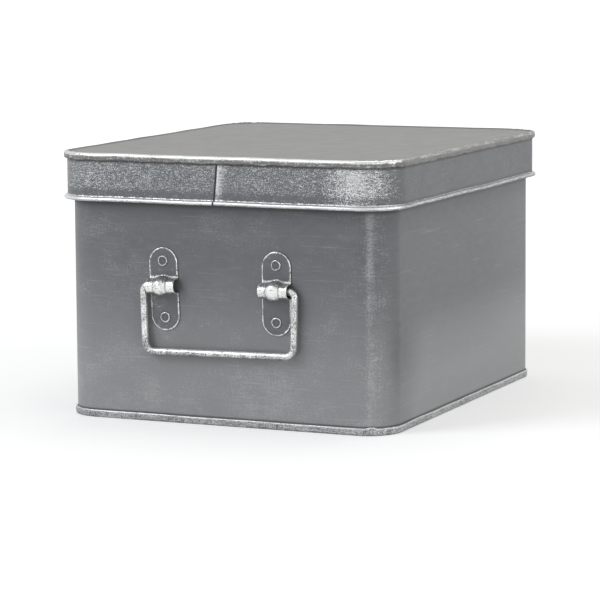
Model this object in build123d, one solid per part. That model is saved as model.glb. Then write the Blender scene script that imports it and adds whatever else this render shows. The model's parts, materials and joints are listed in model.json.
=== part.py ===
from build123d import *
import cmath
import math
import os

# Sheet-steel storage box with a lift-off lid and a swinging wire handle on each short end.
# The box stands on the XY plane with its origin under its middle. X runs along the short ends, Y along
# the long sides and Z is up. The front end, at -Y, carries the lid's seam. All sizes are millimetres.

# Box
body_width = 250.0
body_depth = 300.0
overall_height = 190.0
corner_radius = 24.0
sheet = 0.4
layer_gap = 0.05

# Folded seams that join the floor to the wall and the lid's top to its skirt
base_seam_height = 5.3
base_edge_radius = 1.3
rim_seam_height = 5.4
rim_edge_radius = 2.0
rim_rise = 0.7
rim_step_radius = 1.0
hook_end_gap = 0.5

# Wired edges
body_wire_diameter = 3.2
body_curl_angle = 305.0
lid_wire_diameter = 2.0
lid_curl_angle = 268.0
lid_cove_radius = 1.1

# Lid
lid_height = 34.3
lid_clearance = 0.8
lid_seat_gap = 0.3

# Lapped joints where each wrapped strip closes on itself
joint_slit = 0.7
lap_width = 12.0
joggle_length = 1.5

# Handles and the brackets that they swing in
handle_wire_diameter = 5.0
handle_drop = 46.3
handle_taper = 1.3
handle_top_bend = 4.5
handle_bottom_bend = 6.5
handle_head_diameter = 7.8
leg_clearance = 1.2
bracket_spacing = 87.0
bracket_height = 59.0
bracket_drop = 2.3
bracket_width = 22.0
bracket_sheet = 1.2
bracket_bend = 0.8
bulge_radius = 6.2
pivot_height = 98.0
pivot_standoff = 4.3
pivot_clearance = 0.6

# Rivets
rivet_spacing = 40.0
rivet_head_diameter = 7.2
rivet_head_height = 0.9
rivet_head_bevel = 0.5
rivet_shank_diameter = 3.4
rivet_tail_diameter = 5.0
rivet_tail_height = 0.9
rivet_hole_clearance = 0.05

# Reach of each ring of sheet, counted outwards from the wall's outer face
fold_radius = sheet + layer_gap
seam_reach = 3 * fold_radius
body_curl_radius = body_wire_diameter / 2 + layer_gap + sheet / 2
body_curl_reach = 2 * body_curl_radius
skirt_reach = body_curl_reach + lid_clearance + sheet
lid_curl_radius = lid_wire_diameter / 2 + layer_gap + sheet / 2
lid_curl_centre = skirt_reach - sheet / 2 + lid_cove_radius + sheet / 2

# Heights above the floor
panel_top = overall_height - rim_rise
body_top = panel_top - sheet - lid_seat_gap
lid_bottom = overall_height - lid_height
lid_curl_height = lid_bottom + lid_curl_radius + sheet / 2
body_curl_height = body_top - body_curl_radius - sheet / 2


def bent_sheet(start, heading, moves, thickness):
    """Section of a bent sheet, from its middle line.

    A move is (length,) for a straight run, or (radius, angle) for a bend, to the left if positive.
    """
    point = complex(*start)
    ahead = cmath.rect(1, math.radians(heading))
    sides = {thickness / 2: [], -thickness / 2: []}
    for move in moves:
        turn = math.radians(move[1]) if len(move) == 2 else 0
        centre = point + math.copysign(move[0], turn) * 1j * ahead
        for side, edges in sides.items():
            first = point + side * 1j * ahead
            if turn:
                middle, last = (centre + (first - centre) * cmath.rect(1, turn * s) for s in (0.5, 1))
                edges.append(ThreePointArc(*((p.real, p.imag) for p in (first, middle, last))))
            else:
                last = first + move[0] * ahead
                edges.append(Line(*((p.real, p.imag) for p in (first, last))))
        point = centre + (point - centre) * cmath.rect(1, turn) if turn else point + move[0] * ahead
        ahead *= cmath.rect(1, turn)
    left, right = sides.values()
    caps = [Line(left[0] @ 0, right[0] @ 0), Line(left[-1] @ 1, right[-1] @ 1)]
    return make_face(left + right + caps)


def around_box(section):
    """Carries a section of (reach, height) round the box's rounded outline."""
    ring = Part()
    for angle, reach, side in ((0, body_width, body_depth), (90, body_depth, body_width)):
        run = side - 2 * corner_radius
        start = Plane((reach / 2, -run / 2, 0), x_dir=(1, 0, 0), z_dir=(0, -1, 0))
        end = Plane((reach / 2, run / 2, 0), x_dir=(1, 0, 0), z_dir=(0, -1, 0))
        corner = Axis((reach / 2 - corner_radius, run / 2, 0), (0, 0, 1))
        quarter = extrude(start * section, -run) + revolve(end * section, corner, 90)
        ring += Rot(0, 0, angle) * quarter
        ring += Rot(0, 0, angle + 180) * quarter
    return ring


def flat_sheet(reach, bottom):
    """Flat sheet inside the outline, out to a reach from the wall's outer face."""
    outline = RectangleRounded(body_width + 2 * reach, body_depth + 2 * reach, corner_radius + reach)
    return extrude(Pos(0, 0, bottom) * outline, sheet)


def seam_slit(out_y):
    """Block that opens a strip at the middle of a short end, where its two ends meet."""
    side = math.copysign(1, out_y)
    depth = 4 * (body_curl_reach + lid_clearance)
    return Pos(0, out_y - side * depth / 4, overall_height / 2) * Box(joint_slit, depth, 2 * overall_height)


def lap(face_y, bottom, top):
    """Tongue that one end of a strip sends behind the other, and the joggle that carries it."""
    side = math.copysign(1, face_y)
    middle = (bottom + top) / 2
    height = top - bottom
    tongue_y = face_y - side * (1.5 * sheet + layer_gap)
    tongue_start = -joint_slit / 2 - lap_width
    tongue_end = joint_slit / 2 + joggle_length
    tongue = Pos((tongue_start + tongue_end) / 2, tongue_y, middle) * Box(
        tongue_end - tongue_start, sheet, height
    )
    joggle_depth = 2 * sheet + layer_gap
    joggle = Pos(joint_slit / 2 + joggle_length / 2, face_y - side * joggle_depth / 2, middle) * Box(
        joggle_length, joggle_depth, height
    )
    return tongue + joggle


def rivet_places():
    """Each rivet's name, its bracket's plane and its height above the pivot."""
    return [
        (f"{place}_{level}_rivet", plane, height)
        for place, plane in bracket_planes().items()
        for level, height in rivet_heights().items()
    ]


def rivet_heights():
    """Heights of a bracket's two rivets above the pivot."""
    return {"lower": -bracket_drop - rivet_spacing / 2, "upper": -bracket_drop + rivet_spacing / 2}


def bracket_planes():
    """A plane on the wall at each bracket's pivot, with its Z pointing out of the box."""
    planes = {}
    for end, side in (("front", -1), ("rear", 1)):
        for hand, across in (("left", -1), ("right", 1)):
            planes[f"{end}_{hand}"] = Plane(
                (across * bracket_spacing / 2, side * body_depth / 2, pivot_height),
                x_dir=(-side, 0, 0),
                z_dir=(0, side, 0),
            )
    return planes


def body_wall():
    """Wrapped wall: a hook into the floor seam below, and a curl round the rim wire above."""
    turn_height = base_edge_radius
    flange_top = base_seam_height - sheet - hook_end_gap
    section = bent_sheet(
        (2 * layer_gap + 1.5 * sheet, flange_top),
        -90,
        [
            (flange_top - turn_height,),
            (fold_radius, -180),
            (body_curl_height - turn_height,),
            (body_curl_radius, -body_curl_angle),
        ],
        sheet,
    )
    wall = around_box(section) - seam_slit(body_depth / 2)
    wall += lap(body_depth / 2, base_seam_height, body_curl_height)
    hole = Cylinder(rivet_shank_diameter / 2 + rivet_hole_clearance, 4 * sheet)
    for _, plane, height in rivet_places():
        wall -= plane * Pos(0, height, 0) * hole
    return wall


def base_plate():
    """Floor, with its edge turned up outside the wall and hooked down over the wall's flange."""
    bend_centre = seam_reach - base_edge_radius
    flat_edge = bend_centre - 1
    fold_height = base_seam_height - fold_radius - sheet / 2
    section = bent_sheet(
        (flat_edge, sheet / 2),
        0,
        [
            (bend_centre - flat_edge,),
            (base_edge_radius - sheet / 2, 90),
            (fold_height - base_edge_radius,),
            (fold_radius, 180),
            (fold_height - base_edge_radius - hook_end_gap,),
        ],
        sheet,
    )
    return around_box(section) + flat_sheet(flat_edge, 0)


def lid_panel():
    """Top of the lid: a raised rim turned down outside the skirt and hooked up behind its flange."""
    step_middle = rim_step_radius - sheet / 2
    step_angle = math.degrees(math.acos(1 - rim_rise / (2 * step_middle)))
    step_width = 2 * step_middle * math.sin(math.radians(step_angle))
    bend_centre = skirt_reach + seam_reach - rim_edge_radius
    flat_edge = bend_centre - step_width - 1
    straight = rim_seam_height - rim_edge_radius - fold_radius - sheet / 2
    section = bent_sheet(
        (flat_edge, panel_top - sheet / 2),
        0,
        [
            (bend_centre - step_width - flat_edge,),
            (step_middle, step_angle),
            (step_middle, -step_angle),
            (rim_edge_radius - sheet / 2, -90),
            (straight,),
            (fold_radius, -180),
            (straight - hook_end_gap,),
        ],
        sheet,
    )
    return around_box(section) + flat_sheet(flat_edge, panel_top - sheet)


def lid_skirt():
    """Wrapped skirt: a hook into the rim seam above, and a flare and curl round its wire below."""
    turn_height = overall_height - rim_edge_radius
    flange_bottom = overall_height - rim_seam_height + sheet + hook_end_gap
    cove_middle = lid_cove_radius + sheet / 2
    cove_top = lid_curl_height + lid_curl_radius + cove_middle
    section = bent_sheet(
        (skirt_reach + 2 * layer_gap + 1.5 * sheet, flange_bottom),
        90,
        [
            (turn_height - flange_bottom,),
            (fold_radius, 180),
            (turn_height - cove_top,),
            (cove_middle, 90),
            (lid_curl_radius, -lid_curl_angle),
        ],
        sheet,
    )
    front = -(body_depth / 2 + skirt_reach)
    return around_box(section) - seam_slit(front) + lap(front, cove_top, turn_height)


def rim_wire(reach, height, diameter):
    """Steel wire that stiffens a curled edge, bent to the box's outline."""
    return around_box(Pos(reach, height) * Circle(diameter / 2))


def handle_points():
    """The handle's middle line, hanging: pivot end, top corner, bottom corner, and their mirror."""
    pivot_end = bracket_spacing / 2
    leg = pivot_end + bracket_width / 2 + leg_clearance + handle_wire_diameter / 2
    foot = leg - handle_taper
    half = [(pivot_end, 0), (leg, 0), (foot, -handle_drop)]
    return half + [(-x, y) for x, y in reversed(half)]


def handle(side):
    """Bail of bent wire whose upset heads turn inside the bulges of the two brackets."""
    bends = [handle_top_bend, handle_bottom_bend, handle_bottom_bend, handle_top_bend]
    path = FilletPolyline(*handle_points(), radius=bends)
    bail = sweep(Plane(path @ 0, z_dir=path % 0) * Circle(handle_wire_diameter / 2), path=path)
    for end in (path @ 0, path @ 1):
        bail += Pos(end) * Sphere(handle_head_diameter / 2)
    out_y = side * (body_depth / 2 + pivot_standoff)
    return Plane((0, out_y, pivot_height), x_dir=(-side, 0, 0), z_dir=(0, side, 0)) * bail


def bracket():
    """Strap with rounded ends and a loop over its middle, bulged where the handle's head turns."""
    loop_middle = handle_wire_diameter / 2 + pivot_clearance + bracket_sheet / 2
    bend_middle = bracket_bend + bracket_sheet / 2
    upper_foot = bracket_height / 2 - bracket_drop - loop_middle - bend_middle
    lower_foot = bracket_height / 2 + bracket_drop - loop_middle - bend_middle
    rise = pivot_standoff - bracket_sheet / 2 - bend_middle
    section = bent_sheet(
        (-bracket_height / 2 - bracket_drop, bracket_sheet / 2),
        0,
        [
            (lower_foot,),
            (bend_middle, 90),
            (rise,),
            (loop_middle, -180),
            (rise,),
            (bend_middle, 90),
            (upper_foot,),
        ],
        bracket_sheet,
    )
    across = Plane((-bracket_width / 2, 0, 0), x_dir=(0, 1, 0), z_dir=(1, 0, 0))
    strap = extrude(across * section, bracket_width)
    end_gap = bracket_height - bracket_width
    outline = Pos(0, -bracket_drop, 0) * Rot(0, 0, 90) * SlotCenterToCenter(end_gap, bracket_width)
    strap &= extrude(outline, 4 * pivot_standoff)
    centre = Pos(0, 0, pivot_standoff)
    above_wall = Pos(0, 0, 2 * pivot_standoff) * Box(bracket_width, bracket_height, 4 * pivot_standoff)
    strap += (centre * Sphere(bulge_radius)) & above_wall
    strap -= centre * Sphere(bulge_radius - bracket_sheet)
    channel_radius = loop_middle - bracket_sheet / 2
    strap -= centre * Rot(0, 90, 0) * Cylinder(channel_radius, 2 * bracket_width)
    strap -= Pos(0, 0, pivot_standoff / 2) * Box(2 * bracket_width, 2 * channel_radius, pivot_standoff)
    hole = Cylinder(rivet_shank_diameter / 2 + rivet_hole_clearance, 4 * bracket_sheet)
    for height in rivet_heights().values():
        strap -= Pos(0, height, 0) * hole
    return strap


def rivet():
    """Flat-headed rivet through a bracket and the wall, upset into a low tail inside the box."""
    head = rivet_head_diameter / 2
    shank = rivet_shank_diameter / 2
    tail = rivet_tail_diameter / 2
    tail_face = -sheet - rivet_tail_height
    top = bracket_sheet + rivet_head_height
    outline = [
        (0, tail_face),
        (tail - rivet_tail_height / 2, tail_face),
        (tail, tail_face + rivet_tail_height / 2),
        (tail, -sheet),
        (shank, -sheet),
        (shank, bracket_sheet),
        (head, bracket_sheet),
        (head, top - rivet_head_bevel),
        (head - rivet_head_bevel, top),
        (0, top),
    ]
    section = make_face(Polyline(*outline, close=True))
    return revolve(Plane.XZ * section, Axis.Z)


os.makedirs("parts", exist_ok=True)
pieces = {
    "body_wall": body_wall(),
    "base_plate": base_plate(),
    "body_rim_wire": rim_wire(body_curl_radius - sheet / 2, body_curl_height, body_wire_diameter),
    "lid_panel": lid_panel(),
    "lid_skirt": lid_skirt(),
    "lid_rim_wire": rim_wire(lid_curl_centre, lid_curl_height, lid_wire_diameter),
    "front_handle": handle(-1),
    "rear_handle": handle(1),
}
for place, plane in bracket_planes().items():
    pieces[f"{place}_bracket"] = plane * bracket()
for name, plane, height in rivet_places():
    pieces[name] = plane * Pos(0, height, 0) * rivet()
for name, piece in pieces.items():
    export_step(piece, f"parts/{name}.step")
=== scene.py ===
import json
import math

import bmesh
import bpy
import numpy as np
from mathutils import Matrix, Vector


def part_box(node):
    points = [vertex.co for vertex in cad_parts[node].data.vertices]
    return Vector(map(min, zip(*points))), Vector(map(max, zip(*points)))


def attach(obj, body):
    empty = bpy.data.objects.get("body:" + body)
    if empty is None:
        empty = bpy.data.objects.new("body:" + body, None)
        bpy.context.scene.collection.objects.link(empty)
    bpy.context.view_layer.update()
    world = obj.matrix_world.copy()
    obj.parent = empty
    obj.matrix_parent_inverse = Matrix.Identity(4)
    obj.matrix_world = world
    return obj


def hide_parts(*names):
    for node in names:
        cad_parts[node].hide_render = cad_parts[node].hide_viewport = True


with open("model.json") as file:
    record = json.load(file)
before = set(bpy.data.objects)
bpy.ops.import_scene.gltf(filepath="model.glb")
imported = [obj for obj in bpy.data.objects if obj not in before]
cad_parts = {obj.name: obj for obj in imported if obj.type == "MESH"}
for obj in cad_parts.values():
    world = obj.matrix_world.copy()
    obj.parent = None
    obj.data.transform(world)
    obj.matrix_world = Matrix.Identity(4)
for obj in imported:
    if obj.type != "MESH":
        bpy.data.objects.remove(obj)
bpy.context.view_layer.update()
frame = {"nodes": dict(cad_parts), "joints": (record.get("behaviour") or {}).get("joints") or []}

toMetres = 0.001  # every size below is in millimetres until its mesh is made
print("frame loaded:", len(frame["nodes"]), "nodes")

# The metal that everything is folded from
stock = {
    "cornerRadius": 24.0,  # plan radius of the body's wall
    "sheet": 0.4,
    "layerGap": 0.05,  # air between two folded layers
    "flatStep": 4.0,  # spacing of the mesh along straight runs
    "turnStep": 2.0,  # degrees of corner between two stations
    "lipStep": 0.8,  # from the edge of an open joint to the next station
    "sharpAngle": 38.0,  # degrees between two faces from which their edge looks sharp
    "mergeGap": 2e-6,  # metres
}
stock["fold"] = stock["sheet"] + stock["layerGap"]  # middle radius of a tight fold
stock["seamReach"] = 3 * stock["fold"]  # a folded seam stands this far off the sheet under it


def nodeTop(name):
    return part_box(name)[1][2] / toMetres


def nodeBottom(name):
    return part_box(name)[0][2] / toMetres


# The body's outline, from the floor plate whose seam stands a little outside the wall
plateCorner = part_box("base_plate")[1]
bodyWidth = 2 * (plateCorner[0] / toMetres - stock["seamReach"])
bodyDepth = 2 * (plateCorner[1] / toMetres - stock["seamReach"])
rightFace = bodyWidth / 2
frontFace = -bodyDepth / 2
seamTop = nodeTop("base_plate")
lidTop = nodeTop("lid_panel")
lidBottom = nodeBottom("lid_skirt")
pivotHeight = frame["joints"][1]["pos_m"][2] / toMetres

waveStretches = (0.7, 1.0, 1.45, 2.3)  # the wavelengths that are added, as shares of the one asked for
waveSum = 2.4  # what their sum is divided by, to stay about within 1


def waves(amount, wavelength, seed, distance, copy=0):
    # amount times the sum of four sines of nearby wavelengths with seeded phases: a smooth random line,
    # another one for each copy of a piece
    draw = np.random.default_rng(seed + copy)
    total = np.zeros_like(distance)
    for stretch in waveStretches:
        phase = draw.uniform(0, 2 * np.pi)
        total = total + np.sin(2 * np.pi * distance / (wavelength * stretch) + phase)
    return amount * total / waveSum


def ease(low, high, value):
    # 0 below low, 1 above high, 3t^2 - 2t^3 between
    t = np.clip((value - low) / (high - low), 0, 1)
    return t * t * (3 - 2 * t)


def fade(amount, start, full, value):
    # nothing at start, the amount at full, smooth between
    return amount * ease(start, full, value)


def stripe(amount, centre, halfWidth, value):
    # bell that is the amount at the centre and fades to nothing at halfWidth either side
    return amount * (1 - ease(0, halfWidth, np.abs(value - centre)))


def straightRun(start, end, outward):
    # stations from start up to, but not at, end: their points, outward directions and depth in a corner
    count = max(2, round(float(np.hypot(*(end - start))) / stock["flatStep"]))
    t = np.arange(count)[:, None] / count
    return start + (end - start) * t, np.repeat(outward[None], count, axis=0), np.zeros(count)


def outlineOfBox(openGap=0.0, rear=False):
    # walks anticlockwise round the rounded rectangle from the middle of an end: straight runs joined by
    # quarter circles; gives the points with their outward directions, and as columns the distance walked and
    # how deep in a corner each is, from 0 to 1; an open gap leaves a joint where the walk starts and ends
    radius = stock["cornerRadius"]
    middleOfEnd = np.array([0.0, frontFace])
    corners = ((1, -1, -90), (1, 1, 0), (-1, 1, 90), (-1, -1, 180))  # side in x and y, first angle
    steps = []
    point = middleOfEnd
    for sideX, sideY, startAngle in corners:
        start = math.radians(startAngle)
        outward = np.array([math.cos(start), math.sin(start)])
        centre = np.array([sideX * (bodyWidth / 2 - radius), sideY * (bodyDepth / 2 - radius)])
        steps.append(straightRun(point, centre + radius * outward, outward))
        turn = np.radians(startAngle + np.arange(0, 90, stock["turnStep"]))
        around = np.stack([np.cos(turn), np.sin(turn)], axis=1)
        steps.append((centre + radius * around, around, np.sin(2 * (turn - turn[0]))))
        point = centre + radius * np.array([-outward[1], outward[0]])
    steps.append(straightRun(point, middleOfEnd, np.array([0.0, -1.0])))
    points, outwards, depths = (np.concatenate(parts) for parts in zip(*steps))
    if openGap:
        lip = points[:1] + [[openGap / 2, 0], [openGap / 2 + stock["lipStep"], 0]]
        points = np.concatenate([lip, points[1:], lip[::-1] * [[-1, 1]]])
        outwards = np.concatenate([outwards[:1], outwards, outwards[:1], outwards[:1]])
        depths = np.concatenate([[0], depths, [0, 0]])
    if rear:
        points = -points
        outwards = -outwards
    distance = np.append(0, np.cumsum(np.hypot(*np.diff(points, axis=0).T)))
    return (points[:, None], outwards[:, None]), distance[:, None], depths[:, None]


def bentLine(start, heading, moves, runStep, bendStep):
    # middle line of a bent strip: a run is (length,), a bend is (radius, degrees), left if positive; gives
    # the points, the direction to their left, and how many moves lie behind each
    point = complex(*start)
    ahead = np.exp(1j * math.radians(heading))
    middle = [np.array([point])]
    sideways = [np.array([1j * ahead])]
    progress = [np.zeros(1)]
    for index, move in enumerate(moves):
        if len(move) == 1:
            count = max(1, math.ceil(move[0] / runStep))
            t = np.arange(1, count + 1) / count
            middle.append(point + ahead * move[0] * t)
            sideways.append(np.full(count, 1j * ahead))
        else:
            turn = math.radians(move[1])
            count = max(2, math.ceil(abs(move[1]) / bendStep))
            t = np.arange(1, count + 1) / count
            pivot = point + 1j * ahead * math.copysign(move[0], turn)
            middle.append(pivot + (point - pivot) * np.exp(1j * turn * t))
            sideways.append(1j * ahead * np.exp(1j * turn * t))
        progress.append(index + t)
        point = middle[-1][-1]
        ahead = sideways[-1][-1] / 1j
    return np.concatenate(middle), np.concatenate(sideways), np.concatenate(progress)


def bentSheet(start, heading, moves, runStep=6.0, bendStep=15.0):
    # closed section of a bent sheet: middle line plus, then minus, half the sheet sideways
    middle, sideways, _ = bentLine(start, heading, moves, runStep, bendStep)
    aside = sideways * stock["sheet"] / 2
    outline = np.concatenate([middle + aside, (middle - aside)[::-1]])
    return outline.real, outline.imag


def cappedSection(reach, height, rings):
    # extends both ends of a section to the box's middle by shrinking the outline: shrink runs from 1 to 0
    inwards = np.linspace(1, 0, rings)[1:]
    fill = np.ones(rings - 1)
    reachAll = np.concatenate([fill * reach[0], reach, fill * reach[-1]])
    heightAll = np.concatenate([fill * height[0], height, fill * height[-1]])
    shrink = np.concatenate([inwards[::-1], np.ones_like(reach), inwards])
    return reachAll, heightAll, shrink


def carryRound(outline, reach, height, shrink, push, lift):
    # point(s, t) = (outline(s) + outward(s) * (reach(t) + push(s, t))) * shrink(t), at height(t) + lift(s, t)
    place, outward = outline
    out = np.broadcast_to(reach[None] + push, (len(place), len(reach)))
    plan = place + outward * out[..., None]
    up = np.broadcast_to(height[None] + lift, out.shape)
    return np.concatenate([plan * shrink[None, :, None], up[..., None]], axis=-1)


def gridFaces(rows, columns, closeRows, closeColumns):
    # quads between neighbouring rows and columns of a grid, wrapped round where it closes
    i = np.arange(rows if closeRows else rows - 1)
    j = np.arange(columns if closeColumns else columns - 1)
    i, j = np.meshgrid(i, j, indexing="ij")
    nextI = (i + 1) % rows
    nextJ = (j + 1) % columns
    corners = [i * columns + j, nextI * columns + j, nextI * columns + nextJ, i * columns + nextJ]
    return np.stack(corners, axis=-1).reshape(-1, 4)


def endFaces(line):
    # strip of quads that closes a ring of points, each joined to the one across from it
    half = len(line) // 2
    across = line[::-1]
    return np.stack([line[:half - 1], line[1:half], across[1:half], across[:half - 1]], axis=1)


def addObject(name, data):
    # puts a mesh, a lamp or a camera into the scene
    made = bpy.data.objects.new(name, data)
    bpy.context.scene.collection.objects.link(made)
    return made


pieceFields = ("silver", "paintedShade", "paintedLight")  # what each point tells its material, from 0 to 1


def buildPiece(name, grids, body, material, node):
    # joins grids of points into one mesh in metres, merges doubled points and points the faces outwards
    vertices = []
    faces = []
    fields = {key: [] for key in pieceFields}
    offset = 0
    for grid in grids:
        rows, columns = grid["points"].shape[:2]
        vertices.append(grid["points"].reshape(-1, 3))
        # a capped grid goes right round the box and ends in its middle, others go round their own section
        capped = grid.get("capped", False)
        faces.append(offset + gridFaces(rows, columns, capped, not capped))
        if grid.get("capEnds"):
            firstRow = offset + np.arange(columns)
            faces.append(endFaces(firstRow))
            faces.append(endFaces(firstRow + (rows - 1) * columns))
        for key in fields:
            value = np.broadcast_to(grid.get(key, 0.0), (rows, columns))
            fields[key].append(np.clip(value, 0, 1).reshape(-1))
        offset += rows * columns
    mesh = bpy.data.meshes.new(name)
    mesh.from_pydata((np.concatenate(vertices) * toMetres).tolist(), [], np.concatenate(faces).tolist())
    for key, values in fields.items():
        attribute = mesh.attributes.new(key, "FLOAT", "POINT")
        attribute.data.foreach_set("value", np.concatenate(values).astype(np.float32))
    piece = addObject(name, mesh)
    work = bmesh.new()
    work.from_mesh(mesh)
    bmesh.ops.remove_doubles(work, verts=work.verts, dist=stock["mergeGap"])
    bmesh.ops.recalc_face_normals(work, faces=work.faces)
    work.to_mesh(mesh)
    work.free()
    mesh.polygons.foreach_set("use_smooth", np.ones(len(mesh.polygons), dtype=bool))
    mesh.set_sharp_from_angle(angle=math.radians(stock["sharpAngle"]))
    mesh.materials.append(material)
    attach(piece, body)
    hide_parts(node)
    print("made", name, len(mesh.polygons), "faces")


# Materials: one dry-brushed finish with a look for each kind of piece
def emptyTree(holder):
    # the node tree of a material or a world, with nothing in it
    holder.use_nodes = True
    holder.node_tree.nodes.clear()
    return holder.node_tree


def addNode(tree, kind, values=None, **settings):
    # a node with its settings, each input given a value or joined to another node's output
    made = tree.nodes.new(kind)
    for key, value in settings.items():
        setattr(made, key, value)
    for key, value in (values or {}).items():
        if isinstance(value, bpy.types.NodeSocket):
            tree.links.new(value, made.inputs[key])
        else:
            made.inputs[key].default_value = value
    return made


def mathNode(tree, operation, *values, clamp=False):
    made = addNode(tree, "ShaderNodeMath", dict(enumerate(values)), operation=operation, use_clamp=clamp)
    return made.outputs[0]


noiseKinds = {  # detail, and the levels of the noise that become 0 and 1
    "pattern": {"detail": 2.5, "low": 0.32, "high": 0.68},
    "scratch": {"detail": 2.0, "low": 0.64, "high": 0.76},
    "mottle": {"detail": 5.0, "low": 0.25, "high": 0.75},
}
noiseRoughness = 0.6


def noiseField(tree, place, stretch, kind):
    # noise over stretched object coordinates, spread out to fill 0 to 1
    kindValues = noiseKinds[kind]
    moved = addNode(tree, "ShaderNodeMapping", {"Vector": place, "Scale": stretch})
    noise = addNode(tree, "ShaderNodeTexNoise", {
        "Vector": moved.outputs[0],
        "Scale": 1.0,
        "Detail": kindValues["detail"],
        "Roughness": noiseRoughness,
    })
    spread = addNode(tree, "ShaderNodeMapRange", {
        "Value": noise.outputs[0],
        "From Min": kindValues["low"],
        "From Max": kindValues["high"],
    })
    return spread.outputs[0]


def mixColour(tree, amount, first, second):
    # inputs 0, 6 and 7 of the mix node are its factor and its two colours
    return addNode(tree, "ShaderNodeMix", {0: amount, 6: first, 7: second}, data_type="RGBA").outputs[2]


def dryBrushed(name, look):
    # paint, paler with painted light or darker with painted shade where the piece's attributes say so,
    # with silver dragged over it: the silver shows where a sum of speckles, strokes and patches rises above
    # one less the piece's silver attribute
    material = bpy.data.materials.new(name)
    tree = emptyTree(material)
    place = addNode(tree, "ShaderNodeTexCoord").outputs["Object"]
    field = {}
    for key in pieceFields:
        field[key] = addNode(tree, "ShaderNodeAttribute", attribute_name=key).outputs["Fac"]
    pattern = field["silver"]
    for key, share in look["shares"].items():
        noise = noiseField(tree, place, look[key], "pattern")
        pattern = mathNode(tree, "MULTIPLY_ADD", noise, share, pattern)
    over = mathNode(tree, "SUBTRACT", pattern, 1.0)
    silver = mathNode(tree, "DIVIDE", over, look["softness"], clamp=True)
    silver = mathNode(tree, "MULTIPLY", silver, look["silverStrength"])
    scratch = noiseField(tree, place, look["scratches"], "scratch")
    scratchAmount = mathNode(tree, "MULTIPLY", field["silver"], look["scratchStrength"])
    silver = mathNode(tree, "MAXIMUM", silver, mathNode(tree, "MULTIPLY", scratch, scratchAmount))
    # painted shade takes the silver away
    unshaded = mathNode(tree, "SUBTRACT", 1.0, field["paintedShade"], clamp=True)
    silver = mathNode(tree, "MULTIPLY", silver, unshaded)
    mottle = noiseField(tree, place, look["mottle"], "mottle")
    paint = mixColour(tree, mottle, look["paintDark"], look["paintLight"])
    # painted light: the paint turns paler where the attribute says
    paint = mixColour(tree, field["paintedLight"], paint, look["paintedLightColour"])
    # painted shade: the paint darkens towards the shade colour
    dark = mathNode(tree, "MULTIPLY", field["paintedShade"], look["paintedShadeStrength"])
    paint = mixColour(tree, dark, paint, look["paintedShadeColour"])
    moreMetal = look["silverMetal"] - look["paintMetal"]
    moreRough = look["silverRough"] - look["paintRough"]
    relief = mathNode(tree, "MULTIPLY", mottle, look["mottleRelief"])
    relief = mathNode(tree, "MULTIPLY_ADD", silver, look["silverRelief"], relief)
    raised = addNode(tree, "ShaderNodeBump", {
        "Height": relief,
        "Strength": look["bumpStrength"],
        "Distance": look["bumpDepth"],
    })
    shader = addNode(tree, "ShaderNodeBsdfPrincipled", {
        "Base Color": mixColour(tree, silver, paint, look["silverColour"]),
        "Metallic": mathNode(tree, "MULTIPLY_ADD", silver, moreMetal, look["paintMetal"]),
        "Roughness": mathNode(tree, "MULTIPLY_ADD", silver, moreRough, look["paintRough"]),
        "Specular IOR Level": look["paintGloss"],
        "Normal": raised.outputs[0],
    })
    addNode(tree, "ShaderNodeOutputMaterial", {"Surface": shader.outputs[0]})
    return material


# A scale of 1000 gives features about a millimetre across
baseLook = {
    "paintDark": (0.118, 0.126, 0.135, 1),
    "paintLight": (0.150, 0.157, 0.166, 1),
    # colour of the painted light
    "paintedLightColour": (0.305, 0.309, 0.318, 1),
    # colour of the painted shade in creases, gaps and undersides
    "paintedShadeColour": (0.025, 0.025, 0.027, 1),
    "silverColour": (0.78, 0.79, 0.79, 1),
    "speckle": (950, 950, 950),
    "level": (70, 70, 1000),  # long level strokes
    "upright": (1000, 1000, 90),
    "patches": (38, 38, 50),
    "scratches": (22, 22, 900),
    "mottle": (90, 90, 240),
    "shares": {"speckle": 0.25, "level": 0.35, "upright": 0.15, "patches": 0.25},
    "silverStrength": 0.9,
    "scratchStrength": 0.0,
    "softness": 0.35,  # how far above the level the silver takes to cover
    "silverMetal": 0.8,
    "silverRough": 0.24,
    "paintMetal": 0.1,
    "paintRough": 0.45,
    "paintGloss": 0.5,
    "paintedShadeStrength": 0.85,
    "silverRelief": 0.6,
    "mottleRelief": 0.4,
    "bumpStrength": 0.35,
    "bumpDepth": 0.0002,  # metres
}
brightSteel = baseLook | {
    "silverColour": (0.88, 0.88, 0.86, 1),
    "silverRough": 0.2,
    "silverStrength": 1.0,
    "softness": 0.45,
    "speckle": (1150, 1150, 1150),
    "level": (300, 300, 500),
    "shares": {"speckle": 0.6, "level": 0.2, "upright": 0.0, "patches": 0.2},
}
wallPaint = dryBrushed("wall_paint", baseLook | {
    "speckle": (800, 800, 1300),
    "level": (170, 170, 1150),
    "shares": {"speckle": 0.45, "level": 0.17, "upright": 0.13, "patches": 0.25},
    "silverStrength": 0.42,
    "scratchStrength": 0.45,
    "softness": 0.55,
})
basePaint = dryBrushed("base_paint", baseLook | {
    "speckle": (1300, 1300, 1300),
    "level": (200, 200, 1200),
    "shares": {"speckle": 0.6, "level": 0.25, "upright": 0.0, "patches": 0.15},
    "silverStrength": 0.8,
    "softness": 0.5,
})
lidSidePaint = dryBrushed("lid_side_paint", baseLook | {
    "speckle": (1500, 1500, 1900),
    "level": (200, 200, 1700),
    "shares": {"speckle": 0.64, "level": 0.30, "upright": 0.0, "patches": 0.06},
    "silverStrength": 0.9,
    "softness": 0.36,
})
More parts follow.
